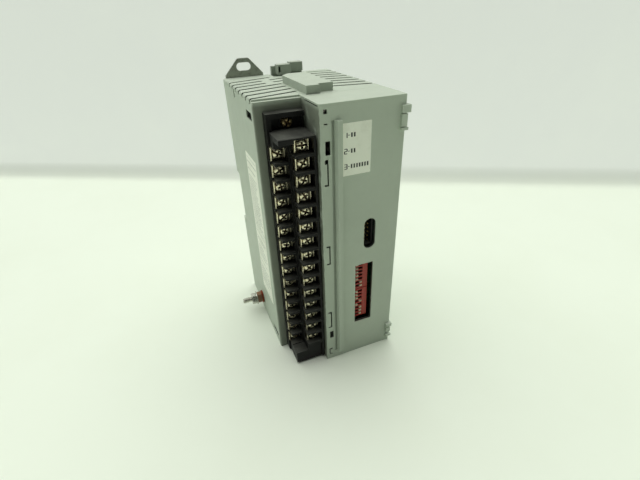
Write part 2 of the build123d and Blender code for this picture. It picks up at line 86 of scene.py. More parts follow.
# ------------------------------------------------------------------ settings
class PlcFinishSettings(bpy.types.PropertyGroup):
    """Colours and surface values of the module."""

    case_colour: bpy.props.FloatVectorProperty(
        name="Housing", description="Colour of the grey-green housing", subtype="COLOR", size=3,
        default=(0.462, 0.532, 0.438), min=0, max=1,
    )
    strip_colour: bpy.props.FloatVectorProperty(
        name="Terminal strip", description="Colour of the black terminal strip", subtype="COLOR", size=3,
        default=(0.0055, 0.0055, 0.0055), min=0, max=1,
    )
    bank_colour: bpy.props.FloatVectorProperty(
        name="Switch bank", description="Colour of the red switch banks", subtype="COLOR", size=3,
        default=(0.37, 0.025, 0.012), min=0, max=1,
    )
    slider_colour: bpy.props.FloatVectorProperty(
        name="Slider", description="Colour of the switch sliders", subtype="COLOR", size=3,
        default=(0.60, 0.53, 0.37), min=0, max=1,
    )
    plating_colour: bpy.props.FloatVectorProperty(
        name="Nickel", description="Colour of the nickel plated screws", subtype="COLOR", size=3,
        default=(0.84, 0.77, 0.57), min=0, max=1,
    )
    label_colour: bpy.props.FloatVectorProperty(
        name="Label", description="Colour of the label stock", subtype="COLOR", size=3,
        default=(0.90, 0.94, 0.82), min=0, max=1,
    )
    dust: bpy.props.FloatProperty(
        name="Dust", description="How much dust lies on faces that look up", subtype="FACTOR",
        default=0.5, min=0, max=1,
    )
    edge_width: bpy.props.FloatProperty(
        name="Edge wear width", description="Width of the rubbed band along edges", subtype="DISTANCE",
        unit="LENGTH", default=0.0004, min=0.00005, max=0.003,
    )
    edge_round: bpy.props.FloatProperty(
        name="Edge rounding", description="Rounding of moulded edges", subtype="DISTANCE",
        unit="LENGTH", default=0.00022, min=0.00002, max=0.001,
    )


class PlcHardwareSettings(bpy.types.PropertyGroup):
    """Sizes of the screws and the ground stud."""

    head_radius: bpy.props.FloatProperty(
        name="Screw head radius", description="Radius of a terminal screw's head", subtype="DISTANCE",
        unit="LENGTH", default=0.0031, min=0.002, max=0.0032,
    )
    slot_depth: bpy.props.FloatProperty(
        name="Slot depth", description="Depth of the straight slot in a head", subtype="DISTANCE",
        unit="LENGTH", default=0.0008, min=0.0002, max=0.0012,
    )
    thread_pitch: bpy.props.FloatProperty(
        name="Thread pitch", description="Pitch of the ground stud's thread", subtype="DISTANCE",
        unit="LENGTH", default=0.0007, min=0.0004, max=0.001,
    )


class PlcStageSettings(bpy.types.PropertyGroup):
    """Floor, backdrop, lights and camera."""

    floor_colour: bpy.props.FloatVectorProperty(
        name="Floor", description="Colour of the floor sheet", subtype="COLOR", size=3,
        default=(0.80, 0.865, 0.755), min=0, max=1,
    )
    wall_colour: bpy.props.FloatVectorProperty(
        name="Backdrop", description="Colour of the backdrop", subtype="COLOR", size=3,
        default=(0.72, 0.765, 0.70), min=0, max=1,
    )
    lens: bpy.props.FloatProperty(
        name="Lens", description="Focal length of the camera in millimetres", unit="CAMERA",
        default=21.489, min=10, max=200,
    )
    key_light: bpy.props.FloatProperty(
        name="Key light", description="Strength of the broad light from above, left and behind",
        default=3.0, min=0, max=50,
    )
    key_spread: bpy.props.FloatProperty(
        name="Key spread", description="Angle over which the key light is spread", subtype="ANGLE",
        default=math.radians(92), min=0.01, max=math.pi,
    )
    sky: bpy.props.FloatProperty(
        name="Ambient", description="Strength of the even light from all round", default=0.05, min=0, max=10,
    )


# ------------------------------------------------------------------ node helpers
def node(tree, kind, inputs=None, **settings):
    """Add one node, set its settings, and fill each named input with a value or a link."""
    made = tree.nodes.new(kind)
    for key, value in settings.items():
        setattr(made, key, value)
    for key, value in (inputs or {}).items():
        socket = made.inputs[key]
        if isinstance(value, bpy.types.NodeSocket):
            tree.links.new(value, socket)
        else:
            socket.default_value = value
    return made


def calc(tree, operation, first, second=0.0, third=0.0, clamp=False):
    """One Math node; its result."""
    made = node(tree, "ShaderNodeMath", {0: first, 1: second, 2: third}, operation=operation, use_clamp=clamp)
    return made.outputs[0]


def ramp(tree, value, low, high, to_low=0.0, to_high=1.0):
    """Value mapped from one range to another, held at the ends."""
    made = node(
        tree, "ShaderNodeMapRange",
        {"Value": value, "From Min": low, "From Max": high, "To Min": to_low, "To Max": to_high},
    )
    return made.outputs["Result"]


def noise(tree, vector, scale, detail=3.0, rough=0.55):
    """Noise value at a scale given in features to the metre."""
    made = node(
        tree, "ShaderNodeTexNoise",
        {"Vector": vector, "Scale": scale, "Detail": detail, "Roughness": rough},
    )
    return made.outputs["Fac"]


def blend_colour(tree, mask, under, over):
    """Two colours mixed by a mask; the result."""
    made = node(tree, "ShaderNodeMix", data_type="RGBA", blend_type="MIX")
    for socket, value in ((made.inputs[0], mask), (made.inputs[6], under), (made.inputs[7], over)):
        if isinstance(value, bpy.types.NodeSocket):
            tree.links.new(value, socket)
        else:
            socket.default_value = value
    return made.outputs[2]


def rgba(colour):
    """Three numbers as a colour with full alpha."""
    return (colour[0], colour[1], colour[2], 1.0)


def new_group(name, inputs, outputs):
    """Empty shader node group with named sockets, with its input and output nodes."""
    tree = bpy.data.node_groups.new(name, "ShaderNodeTree")
    for label, kind, default in inputs:
        socket = tree.interface.new_socket(name=label, in_out="INPUT", socket_type=kind)
        if default is not None:
            socket.default_value = default
    for label, kind in outputs:
        tree.interface.new_socket(name=label, in_out="OUTPUT", socket_type=kind)
    return tree, tree.nodes.new("NodeGroupInput"), tree.nodes.new("NodeGroupOutput")


def edge_wear_group():
    """Mask that is 1 where edges are rubbed: bend of the rounded normal, broken up by noise."""
    tree, start, end = new_group(
        "Edge Wear",
        (("Vector", "NodeSocketVector", None), ("Width", "NodeSocketFloat", 0.0004),
         ("Amount", "NodeSocketFloat", 0.5)),
        (("Mask", "NodeSocketFloat"),),
    )
    rounded = node(tree, "ShaderNodeBevel", {"Radius": start.outputs["Width"]}, samples=6)
    plain = node(tree, "ShaderNodeNewGeometry")
    bend = node(
        tree, "ShaderNodeVectorMath", {0: rounded.outputs[0], 1: plain.outputs["Normal"]},
        operation="DOT_PRODUCT",
    )
    edge = ramp(tree, bend.outputs["Value"], 0.995, 0.90)
    broken = ramp(tree, noise(tree, start.outputs["Vector"], 420.0, 4.0, 0.65), 0.38, 0.62)
    mask = calc(tree, "MULTIPLY", calc(tree, "MULTIPLY", edge, broken), start.outputs["Amount"], clamp=True)
    tree.links.new(mask, end.inputs["Mask"])
    return tree


def dust_group():
    """Mask of dust: faces that look up, in soft patches with fine specks."""
    tree, start, end = new_group(
        "Settled Dust",
        (("Vector", "NodeSocketVector", None), ("Amount", "NodeSocketFloat", 0.5)),
        (("Mask", "NodeSocketFloat"),),
    )
    plain = node(tree, "ShaderNodeNewGeometry")
    parts = node(tree, "ShaderNodeSeparateXYZ", {0: plain.outputs["Normal"]})
    upward = ramp(tree, parts.outputs["Z"], 0.25, 0.95)
    patches = ramp(tree, noise(tree, start.outputs["Vector"], 140.0, 4.0, 0.6), 0.30, 0.70, 0.35, 1.0)
    specks = ramp(tree, noise(tree, start.outputs["Vector"], 2600.0, 2.0, 0.5), 0.66, 0.74, 0.0, 0.25)
    lying = calc(tree, "MULTIPLY", upward, patches)
    total = calc(tree, "ADD", lying, specks)
    mask = calc(tree, "MULTIPLY", total, start.outputs["Amount"], clamp=True)
    tree.links.new(mask, end.inputs["Mask"])
    return tree


def grain_group():
    """Height of a spark-eroded mould texture: fine noise over a slower ripple."""
    tree, start, end = new_group(
        "Mould Grain",
        (("Vector", "NodeSocketVector", None), ("Density", "NodeSocketFloat", 2400.0)),
        (("Height", "NodeSocketFloat"),),
    )
    fine = noise(tree, start.outputs["Vector"], start.outputs["Density"], 2.0, 0.6)
    slow = noise(tree, start.outputs["Vector"], 260.0, 2.0, 0.5)
    tree.links.new(calc(tree, "MULTIPLY_ADD", slow, 0.5, fine), end.inputs["Height"])
    return tree


def drift_group():
    """Colour that drifts a little lighter and darker over the part, with faint stains."""
    tree, start, end = new_group(
        "Colour Drift",
        (("Vector", "NodeSocketVector", None), ("Colour", "NodeSocketColor", (0.5, 0.5, 0.5, 1)),
         ("Spread", "NodeSocketFloat", 0.1)),
        (("Colour", "NodeSocketColor"),),
    )
    wide = noise(tree, start.outputs["Vector"], 26.0, 3.0, 0.55)
    near = noise(tree, start.outputs["Vector"], 310.0, 5.0, 0.65)
    both = calc(tree, "MULTIPLY_ADD", near, 0.5, wide)
    shift = calc(tree, "MULTIPLY", calc(tree, "SUBTRACT", both, 0.75), start.outputs["Spread"])
    bright = node(
        tree, "ShaderNodeHueSaturation",
        {"Color": start.outputs["Colour"], "Value": calc(tree, "ADD", shift, 1.0)},
    )
    tree.links.new(bright.outputs["Color"], end.inputs["Colour"])
    return tree


GROUPS = {}


def place(tree, name, inputs):
    """Put one shared group into a tree, building it the first time."""
    makers = {"wear": edge_wear_group, "dust": dust_group, "grain": grain_group, "drift": drift_group}
    if name not in GROUPS:
        GROUPS[name] = makers[name]()
    made = tree.nodes.new("ShaderNodeGroup")
    made.node_tree = GROUPS[name]
    for key, value in inputs.items():
        if isinstance(value, bpy.types.NodeSocket):
            tree.links.new(value, made.inputs[key])
        else:
            made.inputs[key].default_value = value
    return made.outputs[0]


def start_material(name):
    """Empty material with its shader, its output and object coordinates."""
    made = bpy.data.materials.new(name)
    made.use_nodes = True
    tree = made.node_tree
    tree.nodes.clear()
    shader = tree.nodes.new("ShaderNodeBsdfPrincipled")
    out = tree.nodes.new("ShaderNodeOutputMaterial")
    tree.links.new(shader.outputs["BSDF"], out.inputs["Surface"])
    where = tree.nodes.new("ShaderNodeTexCoord").outputs["Object"]
    return made, tree, shader, where


def ledge_shade_mask(tree, where):
    """Painted shade mask: 1 in the corner in front of the ledge and beside the raised cover, with a soft
    ragged edge.
    """
    side_fade, front_fade, top_fade = (0.00025, 0.0001), (0.0022, 0.0010), (0.0046, 0.0070)
    raggedness = 0.0012
    ragged = noise(tree, where, 120.0, 4.0, 0.6)
    parts = node(tree, "ShaderNodeSeparateXYZ", {0: where})
    wobble = calc(tree, "MULTIPLY_ADD", ragged, raggedness, -raggedness / 2.0)
    x = calc(tree, "ADD", parts.outputs["X"], wobble)
    y = calc(tree, "ADD", parts.outputs["Y"], wobble)
    low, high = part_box("rear_housing")
    beside = ramp(tree, x, COVER_LEFT_X + side_fade[0], COVER_LEFT_X + side_fade[1])
    in_front = ramp(tree, y, low.y + front_fade[0], low.y + front_fade[1])
    below = ramp(tree, parts.outputs["Z"], high.z - top_fade[0], high.z - top_fade[1])
    return calc(tree, "MULTIPLY", calc(tree, "MULTIPLY", beside, in_front), below)


def interior_shade_mask(tree, where):
    """Painted shade mask: 1 on surfaces within the closed case, such as slot walls and hole walls; less in
    the rib's groove.
    """
    skin, top_skin, lip_drop, groove_relief = 0.0005, 0.0002, 0.0011, 0.72
    parts = node(tree, "ShaderNodeSeparateXYZ", {0: where})
    x, y, z = (parts.outputs[key] for key in "XYZ")
    cover_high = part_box("front_cover")[1]
    rear_low, rear_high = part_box("rear_housing")
    cover_side = COVER_LEFT_X + skin
    behind_ledge = calc(tree, "GREATER_THAN", y, rear_low.y + skin)
    right_of_ledge = calc(tree, "GREATER_THAN", x, cover_side)
    behind_cover = calc(tree, "GREATER_THAN", y, COVER_FRONT_Y + skin)
    in_tower = calc(tree, "MULTIPLY", right_of_ledge, behind_cover)
    mask = calc(tree, "MAXIMUM", behind_ledge, in_tower)
    for value, limit, kind in (
        (x, rear_low.x + skin, "GREATER_THAN"), (x, rear_high.x - skin, "LESS_THAN"),
        (y, HUMP_START_Y, "LESS_THAN"), (z, rear_low.z + skin, "GREATER_THAN"),
    ):
        mask = calc(tree, "MULTIPLY", mask, calc(tree, kind, value, limit))
    before_lip = calc(tree, "LESS_THAN", y, LIP_BACK_Y)
    lip = calc(tree, "MULTIPLY", before_lip, calc(tree, "LESS_THAN", x, cover_side))
    ceiling = calc(tree, "MULTIPLY_ADD", lip, -lip_drop, cover_high.z - top_skin)
    mask = calc(tree, "MULTIPLY", mask, calc(tree, "LESS_THAN", z, ceiling))
    groove = calc(tree, "LESS_THAN", y, GROOVE_FLOOR_Y)
    for limit, kind in ((GROOVE_LEFT_X, "GREATER_THAN"), (GROOVE_RIGHT_X, "LESS_THAN")):
        groove = calc(tree, "MULTIPLY", groove, calc(tree, kind, x, limit))
    return calc(tree, "MULTIPLY", mask, calc(tree, "MULTIPLY_ADD", groove, -groove_relief, 1.0))


def bump(tree, shader, height, depth):
    """Feed a height, whose full range is depth metres, to the shader's normal."""
    made = node(tree, "ShaderNodeBump", {"Height": height, "Distance": depth, "Strength": 1.0})
    tree.links.new(made.outputs["Normal"], shader.inputs["Normal"])


def moulded(
    name, colour, roughness=0.5, spread=0.16, grain=2400.0, depth=0.00003, wear=0.4, wear_colour=None,
    dust=0.35, dust_colour=(0.50, 0.53, 0.44), specular=0.45, painted_shade=0.0, shade_from_y=None,
):
    """Moulded plastic: drifting colour, eroded grain, rubbed edges, dust and uneven gloss, with optional
    painted shade in the ledge corner, on inside faces and on faces behind a given Y.
    """
    settings = bpy.context.scene.plc_finish
    made, tree, shader, where = start_material(name)
    base = place(tree, "drift", {"Vector": where, "Colour": rgba(colour), "Spread": spread})
    rubbed = place(tree, "wear", {"Vector": where, "Width": settings.edge_width, "Amount": wear})
    lighter = wear_colour or [min(1.0, channel * 1.35 + 0.03) for channel in colour]
    worn = blend_colour(tree, rubbed, base, rgba(lighter))
    lying = place(tree, "dust", {"Vector": where, "Amount": dust})
    dusty = blend_colour(tree, lying, worn, rgba(dust_colour))
    if painted_shade:
        # painted shade: the corner in front of the ledge and beside the cover is darkened
        ledge_shade_amount = calc(tree, "MULTIPLY", ledge_shade_mask(tree, where), painted_shade)
        dusty = blend_colour(tree, ledge_shade_amount, dusty, LEDGE_SHADE_COLOUR)
        # painted shade: faces inside the closed case, such as slot and hole walls, are darkened to the unlit
        # colour
        interior_shade = calc(tree, "MULTIPLY", interior_shade_mask(tree, where), 0.93)
        dusty = blend_colour(tree, interior_shade, dusty, UNLIT_PLASTIC)
    # painted shade: faces deeper than the given Y are darkened towards the unlit colour
    if shade_from_y is not None:
        inward = node(tree, "ShaderNodeSeparateXYZ", {0: where}).outputs["Y"]
        shade_behind = ramp(tree, inward, shade_from_y, shade_from_y + 0.0005, 0.0, 0.9)
        dusty = blend_colour(tree, shade_behind, dusty, UNLIT_BANK)
    tree.links.new(dusty, shader.inputs["Base Color"])
    gloss = ramp(tree, noise(tree, where, 180.0, 4.0), 0.3, 0.7, roughness - 0.07, roughness + 0.07)
    duller = calc(tree, "MULTIPLY_ADD", lying, 0.3, gloss, clamp=True)
    tree.links.new(duller, shader.inputs["Roughness"])
    shader.inputs["Specular IOR Level"].default_value = specular
    bump(tree, shader, place(tree, "grain", {"Vector": where, "Density": grain}), depth)
    return made


def plated(
    name, colour, roughness=0.25, tarnish=(0.16, 0.10, 0.05), stain=0.35, recess=False, plate_shade_from_y=None,
):
    """Plated metal: drag marks, brown tarnish in patches, uneven polish, darker colour in screw recesses and
    painted shade on faces deeper than a given Y.
    """
    scratch_depth = 0.000005
    made, tree, shader, where = start_material(name)
    base = place(tree, "drift", {"Vector": where, "Colour": rgba(colour), "Spread": 0.25})
    spots = ramp(tree, noise(tree, where, 420.0, 3.0, 0.6), 0.50, 0.72, 0.0, stain)
    stained = blend_colour(tree, spots, base, rgba(tarnish))
    if recess:
        # darker colour in the slot and cross, from the recess attribute
        sunk = node(tree, "ShaderNodeAttribute", attribute_name="recess").outputs["Fac"]
        stained = blend_colour(tree, sunk, stained, RECESS_DARK)
    # painted shade: faces deeper than the given Y are darkened
    if plate_shade_from_y is not None:
        inward = node(tree, "ShaderNodeSeparateXYZ", {0: where}).outputs["Y"]
        shade_behind = ramp(tree, inward, plate_shade_from_y - 0.0007, plate_shade_from_y - 0.0001, 0.0, 0.85)
        stained = blend_colour(tree, shade_behind, stained, PLATE_SHADE)
    tree.links.new(stained, shader.inputs["Base Color"])
    shader.inputs["Metallic"].default_value = 1.0
    polish = ramp(tree, noise(tree, where, 900.0, 4.0), 0.3, 0.7, roughness - 0.08, roughness + 0.12)
    tree.links.new(calc(tree, "MULTIPLY_ADD", spots, 0.4, polish, clamp=True), shader.inputs["Roughness"])
    pulled = node(tree, "ShaderNodeMapping", {"Vector": where, "Scale": (1.0, 1.0, 9.0)})
    bump(tree, shader, noise(tree, pulled.outputs["Vector"], 1500.0, 3.0), scratch_depth)
    return made


def label_stock(name, colour):
    """Printed label: slightly yellowed matt film with soiled patches and a faint weave."""
    made, tree, shader, where = start_material(name)
    base = place(tree, "drift", {"Vector": where, "Colour": rgba(colour), "Spread": 0.10})
    soiled = ramp(tree, noise(tree, where, 90.0, 6.0, 0.7), 0.50, 0.80, 0.0, 0.35)
    tinted = blend_colour(tree, soiled, base, (0.42, 0.43, 0.30, 1.0))
    tree.links.new(tinted, shader.inputs["Base Color"])
    tree.links.new(ramp(tree, soiled, 0.0, 0.35, 0.42, 0.62), shader.inputs["Roughness"])
    bump(tree, shader, place(tree, "grain", {"Vector": where, "Density": 5200.0}), 0.000006)
    return made


def circuit_board(name):
    """Solder mask over copper: tracks from stepped cells, pads and a fibrous sheen."""
    made, tree, shader, where = start_material(name)
    cells = node(
        tree, "ShaderNodeTexVoronoi", {"Vector": where, "Scale": 260.0}, feature="F1", distance="CHEBYCHEV",
    )
    track = ramp(tree, cells.outputs["Distance"], 0.36, 0.39)
    pads = node(tree, "ShaderNodeTexVoronoi", {"Vector": where, "Scale": 390.0, "Randomness": 0.2})
    pad = ramp(tree, pads.outputs["Distance"], 0.17, 0.15)
    mask_green = blend_colour(tree, track, (0.006, 0.040, 0.018, 1.0), (0.010, 0.075, 0.032, 1.0))
    final = blend_colour(tree, pad, mask_green, (0.62, 0.60, 0.55, 1.0))
    tree.links.new(final, shader.inputs["Base Color"])
    tree.links.new(pad, shader.inputs["Metallic"])
    tree.links.new(ramp(tree, noise(tree, where, 500.0), 0.3, 0.7, 0.22, 0.38), shader.inputs["Roughness"])
    bump(tree, shader, track, 0.00003)
    return made


def laminated_core(name):
    """Varnished steel laminations seen edge on, with a taped winding's slow wrinkles."""
    made, tree, shader, where = start_material(name)
    sheets = node(tree, "ShaderNodeTexWave", {"Vector": where, "Scale": 320.0, "Distortion": 0.4},
                  wave_type="BANDS", bands_direction="X")
    tone = blend_colour(tree, sheets.outputs["Fac"], (0.035, 0.030, 0.025, 1.0), (0.11, 0.095, 0.080, 1.0))
    tree.links.new(tone, shader.inputs["Base Color"])
    shader.inputs["Metallic"].default_value = 0.5
    tree.links.new(ramp(tree, noise(tree, where, 210.0), 0.3, 0.7, 0.35, 0.6), shader.inputs["Roughness"])
    bump(tree, shader, sheets.outputs["Fac"], 0.00008)
    return made


def dress(names, material):
    """Give CAD nodes one material in every slot."""
    for name in names:
        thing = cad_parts[name]
        data = thing.data
        if not data.materials:
            data.materials.append(material)
        for index in range(len(data.materials)):
            data.materials[index] = material


def soften(names, radius):
    """Round the hard edges of CAD nodes: weld their loose corners, then bevel by angle."""
    for name in names:
        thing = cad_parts[name]
        weld = thing.modifiers.new("Weld corners", "WELD")
        weld.merge_threshold = 0.000004
        edge = thing.modifiers.new("Round edges", "BEVEL")
        edge.width = radius
        edge.segments = 2
        edge.limit_method = "ANGLE"
        edge.angle_limit = math.radians(40)
        edge.use_clamp_overlap = True
        edge.harden_normals = False


# ------------------------------------------------------------------ surfaces
def grid_faces(rows, columns, wrap_rows=False):
    """Quads between neighbouring grid points; columns always close on themselves."""
    row_count = rows if wrap_rows else rows - 1
    row = np.arange(row_count)[:, None]
    column = np.arange(columns)[None, :]
    after = (row + 1) % rows
    beside = (column + 1) % columns
    corners = (
        row * columns + column, row * columns + beside, after * columns + beside, after * columns + column,
    )
    return np.stack([np.broadcast_to(c, (row_count, columns)) for c in corners], -1).reshape(-1, 4)


def build(name, points, faces, material, smooth_angle=35.0, recess=None):
    """Mesh object from arrays: poles are merged, faces turned outwards and the piece put on its body."""
    data = bpy.data.meshes.new(name)
    data.from_pydata(points.reshape(-1, 3).tolist(), [], faces.tolist())
    if recess is not None:
        data.attributes.new("recess", "FLOAT", "POINT").data.foreach_set("value", recess.reshape(-1))
    shell = bmesh.new()
    shell.from_mesh(data)
    bmesh.ops.remove_doubles(shell, verts=shell.verts, dist=2e-7)
    bmesh.ops.dissolve_degenerate(shell, edges=shell.edges, dist=1e-8)
    bmesh.ops.recalc_face_normals(shell, faces=shell.faces)
    shell.to_mesh(data)
    shell.free()
    data.polygons.foreach_set("use_smooth", [True] * len(data.polygons))
    data.set_sharp_from_angle(angle=math.radians(smooth_angle))
    data.materials.append(material)
    thing = bpy.data.objects.new(name, data)
    bpy.context.scene.collection.objects.link(thing)
    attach(thing, BODY)
    return thing


def step_down(distance, half_width, soft):
    """1 inside a band of the given half width and 0 outside, with a soft edge between."""
    t = np.clip((half_width + soft - distance) / soft, 0.0, 1.0)
    return t * t * (3.0 - 2.0 * t)


def screw_row(name, node_name, levels, head, material, rng):
    """Pan head screws in a column.

    A head is turned from a profile: the distance from the axis r grows from 0 to the head radius R while
    the front recedes as c ((r - r0) / (R - r0))^3.3, then the side, the underside and the shank follow.
    The recess lowers the front by the larger of a straight slot and a cross, each a band of soft edge.
    """
    low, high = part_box(node_name)
    around, face_rings = 88, 20
    flat, crown, steepness = 0.0009, 0.00165, 3.3
    side, shank = 0.0020, 0.00145
    slot_half, slot_soft = 0.00030, 0.00014
    cross_half, cross_reach, cross_depth = 0.00036, 0.0014, 0.0014
    cross_soft, cross_end_soft = 0.00016, 0.0004
    lean_spread, most_lift, seat = 0.02, 0.00025, 0.0001
    rings = np.concatenate([np.linspace(0.0, head * 0.98, face_rings), [head, head]])
    fall = crown * np.clip((rings - flat) / (head - flat), 0.0, 1.0) ** steepness
    fall[-1] = side
    ring = np.concatenate([rings, [shank, shank, 0.0]])
    back = np.concatenate([fall, [side, high.y - low.y, high.y - low.y]])
    angle = np.linspace(0.0, 2.0 * math.pi, around, endpoint=False)
    across = ring[:, None] * np.cos(angle)[None, :]
    along = ring[:, None] * np.sin(angle)[None, :]
    slot_depth = bpy.context.scene.plc_hardware.slot_depth
    slot = step_down(np.abs(along), slot_half, slot_soft) * slot_depth
    upright, level = (
        step_down(np.abs(narrow), cross_half, cross_soft)
        * step_down(np.abs(wide), cross_reach, cross_end_soft)
        for narrow, wide in ((across, along), (along, across))
    )
    arms = np.maximum(upright, level) * cross_depth
    on_front = (np.arange(len(ring)) < len(rings) - 1)[:, None]
    sunk = np.where(on_front, np.maximum(slot, arms), 0.0)
    depth = np.minimum(back[:, None] + sunk, np.where(on_front, side - seat, 1.0))
    turns = rng.uniform(0.0, math.pi, len(levels))
    tilt = rng.normal(0.0, lean_spread, (len(levels), 2))
    lift = rng.uniform(0.0, most_lift, len(levels))
    cosine = np.cos(turns)[:, None, None]
    sine = np.sin(turns)[:, None, None]
    x = across * cosine - along * sine
    z = across * sine + along * cosine
    lean = np.where(on_front, 1.0, 0.0)
    far = np.where(np.arange(len(ring)) < len(ring) - 2, 1.0, 0.0)[:, None]
    swing = (x * tilt[:, 0, None, None] + z * tilt[:, 1, None, None]) * lean
    y = low.y + seat + lift[:, None, None] * far + depth + swing
    y = np.clip(y, low.y, high.y)
    points = np.stack([(low.x + high.x) / 2 + x, y, np.asarray(levels)[:, None, None] + z], -1)
    # darker colour where the slot and cross are sunk
    recess_darkening = np.broadcast_to(np.clip(sunk / slot_depth * 1.6 - 0.6, 0.0, 1.0) * 0.95, x.shape)
    one = grid_faces(len(ring), around)
    faces = (one[None] + np.arange(len(levels))[:, None, None] * ring.size * around).reshape(-1, 4)
    thing = build(name, points, faces, material, 30.0, recess_darkening)
    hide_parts(node_name)
    return thing


def turned(profile, around, side_radius=None):
    """Grid of points about the X axis: a profile of (x, r) pairs carried round.

    With side_radius f, r is held inside a hexagon.
    Its radius at angle a is f / cos(a mod 60 - 30), with f half the width across flats.
    """
    x, r = np.asarray(profile, dtype=float).T
    angle = np.linspace(0.0, 2.0 * math.pi, around, endpoint=False)
    radius = np.repeat(r[:, None], around, axis=1)
    if side_radius is not None:
        turn = np.mod(angle, math.pi / 3.0) - math.pi / 6.0
        radius = np.minimum(radius, (side_radius / np.cos(turn))[None, :])
    along = np.repeat(x[:, None], around, axis=1)
    return np.stack([along, radius * np.cos(angle), radius * np.sin(angle)], -1)


def slabs(centres, sizes):
    """Many small boxes as one grid of eight corners each: centre plus or minus half of each size."""
    signs = np.array([(x, y, z) for z in (-1, 1) for x, y in ((-1, -1), (1, -1), (1, 1), (-1, 1))])
    points = np.asarray(centres)[:, None, :] + signs[None] * np.asarray(sizes)[:, None, :] / 2.0
    one = np.array([(0, 3, 2, 1), (4, 5, 6, 7), (0, 1, 5, 4), (1, 2, 6, 5), (2, 3, 7, 6), (3, 0, 4, 7)])
    faces = (one[None] + np.arange(len(points))[:, None, None] * 8).reshape(-1, 4)
    return points, faces


# ------------------------------------------------------------------ operators
class PLC_OT_case(bpy.types.Operator):
    """Finish the housing, the front cover and the rail latch."""

    bl_idname = "plc.case"
    bl_label = "Housing"

    def execute(self, context):
        settings = context.scene.plc_finish
        colour = settings.case_colour
        # the housing gets painted shade in the ledge corner and on its inside faces
        case = moulded(
            "Housing plastic", colour, 0.50, dust=settings.dust * 0.5, dust_colour=(0.60, 0.64, 0.54),
            painted_shade=0.72,
        )
        latch = moulded(
            "Latch plastic", [channel * 0.76 for channel in colour], 0.46, wear=0.6, dust=settings.dust * 0.6,
        )
        dress(["rear_housing", "front_cover"], case)
        dress(["rail_latch"], latch)
        soften(["rear_housing", "front_cover", "rail_latch"], settings.edge_round)
        return {"FINISHED"}


class PLC_OT_terminal_strip(bpy.types.Operator):
    """Finish the black strip, its clamp plates and contacts."""

    bl_idname = "plc.terminal_strip"
    bl_label = "Terminal strip"

    def execute(self, context):
        settings = context.scene.plc_finish
        strip = moulded(
            "Strip plastic", settings.strip_colour, 0.45, spread=0.5, grain=3000.0, wear=0.4,
            wear_colour=(0.07, 0.07, 0.065), dust=settings.dust * 0.9, dust_colour=(0.19, 0.20, 0.17),
            specular=0.2,
        )
        dress(["terminal_strip"], strip)
        soften(["terminal_strip"], 0.00018)
        for side in ("outer", "inner"):
            # the clamp plates get painted shade on their deeper faces
            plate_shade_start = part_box("clamp_plates_" + side)[0].y + 0.0015
            plate = plated(
                "Clamp plate " + side, settings.plating_colour, 0.30, stain=0.45, plate_shade_from_y=plate_shade_start,
            )
            dress(["clamp_plates_" + side], plate)
        soften(["clamp_plates_outer", "clamp_plates_inner"], 0.00012)
        dress(["contacts_outer", "contacts_inner"], plated("Contact brass", (0.60, 0.46, 0.22), 0.35))
        return {"FINISHED"}


class PLC_OT_terminal_screws(bpy.types.Operator):
    """Make the two columns of combination screws and the captive screw."""

    bl_idname = "plc.terminal_screws"
    bl_label = "Terminal screws"

    def execute(self, context):
        settings = context.scene.plc_finish
        screw = plated("Screw nickel", settings.plating_colour, 0.30, stain=0.25, recess=True)
        rng = np.random.default_rng(RNG_SEED)
        head = context.scene.plc_hardware.head_radius
        for side in ("outer", "inner"):
            low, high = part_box("terminal_screws_" + side)
            levels = np.linspace(high.z - head, low.z + head, 15)
            node_name = "terminal_screws_" + side
            screw_row("Screws_" + side, node_name, levels, head, screw, rng)
        low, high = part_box("captive_screw")
        captive_head = 0.0029
        brown = plated("Captive screw zinc", (0.50, 0.38, 0.20), 0.30, stain=0.6, recess=True)
        levels = [(low.z + high.z) / 2]
        screw_row("Screw_captive", "captive_screw", levels, captive_head, brown, rng)
        return {"FINISHED"}


class PLC_OT_switches(bpy.types.Operator):
    """Finish the switch banks, the sliders and the socket behind the oblong window."""

    bl_idname = "plc.switches"
    bl_label = "Switches"

    def execute(self, context):
        settings = context.scene.plc_finish
        # the banks get painted shade on every face behind their front
        bank = moulded(
            "Bank plastic", settings.bank_colour, 0.34, grain=4200.0, depth=0.00001, wear=0.25, dust=0.12,
            dust_colour=(0.35, 0.20, 0.16), shade_from_y=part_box("switch_bank_upper")[0].y + 0.0004,
        )
        dress(["switch_bank_upper", "switch_bank_lower"], bank)
        slider = moulded(
            "Slider plastic", settings.slider_colour, 0.36, grain=5200.0, depth=0.000008, wear=0.1, dust=0.1,
        )
        sliders = [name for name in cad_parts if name.startswith("slider_")]
        dress(sliders, slider)
        soften(["switch_bank_upper", "switch_bank_lower"], 0.0001)
        socket = moulded("Socket plastic", (0.010, 0.010, 0.011), 0.38, wear=0.2, dust=0.2)
        dress(["service_socket", "board_link", "terminal_header"], socket)
        dress(["service_pins"], plated("Pin gold", (0.30, 0.21, 0.08), 0.30, stain=0.3))
        return {"FINISHED"}


class PLC_OT_inside(bpy.types.Operator):
    """Finish the boards and the parts on them."""

    bl_idname = "plc.inside"
    bl_label = "Inside"

    def execute(self, context):
        dress(["switch_board", "main_board", "terminal_board"], circuit_board("Circuit board"))
        dress(["board_screws"], plated("Board screw zinc", (0.50, 0.49, 0.46), 0.3))
        dress(["board_rails"], moulded("Board rail plastic", (0.17, 0.19, 0.16), 0.5))
        dress(["transformer"], laminated_core("Transformer core"))
        dress(["capacitors"], moulded("Capacitor sleeve", (0.012, 0.018, 0.050), 0.3, wear=0.3, dust=0.3))
        dress(["relays"], moulded("Relay cover", (0.55, 0.54, 0.46), 0.36, wear=0.2, dust=0.3))
        soften(["transformer", "relays"], 0.0003)
        return {"FINISHED"}


